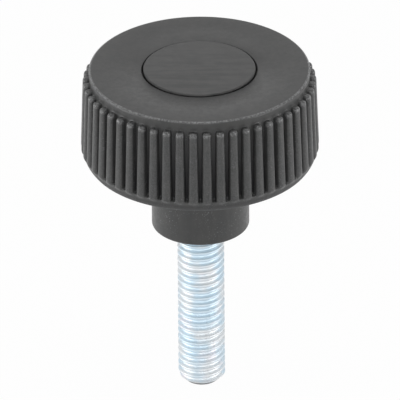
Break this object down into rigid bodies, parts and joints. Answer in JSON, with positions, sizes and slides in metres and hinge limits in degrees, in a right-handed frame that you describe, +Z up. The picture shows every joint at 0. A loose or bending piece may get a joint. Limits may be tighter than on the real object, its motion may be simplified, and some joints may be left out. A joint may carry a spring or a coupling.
{
  "type": "knurled knob",
  "caption": "Knurled clamping knob: a ribbed round plastic head on a smooth hub, with a threaded steel stud for hand-tightening.",
  "frame": {"origin": "centre of the hub's seat face, where the knob bears on what it clamps", "axes": "+Z up the knob's axis through the head; the stud points along -Z; X and Y are across the knob, with -Y through a groove between two ribs"},
  "size_m": [0.04, 0.04, 0.0597],
  "materials": {
    "knob_plastic": "black-grey glass-filled polyamide, fine satin mould texture",
    "cap_plastic": "black-grey polyamide, smooth satin",
    "zinc_plated_steel": "bright bluish zinc plate on a rolled thread"
  },
  "bodies": {
    "root": {"knob_body": "knob_plastic", "cover_cap": "cap_plastic", "threaded_stud": "zinc_plated_steel"}
  },
  "joints": []
}
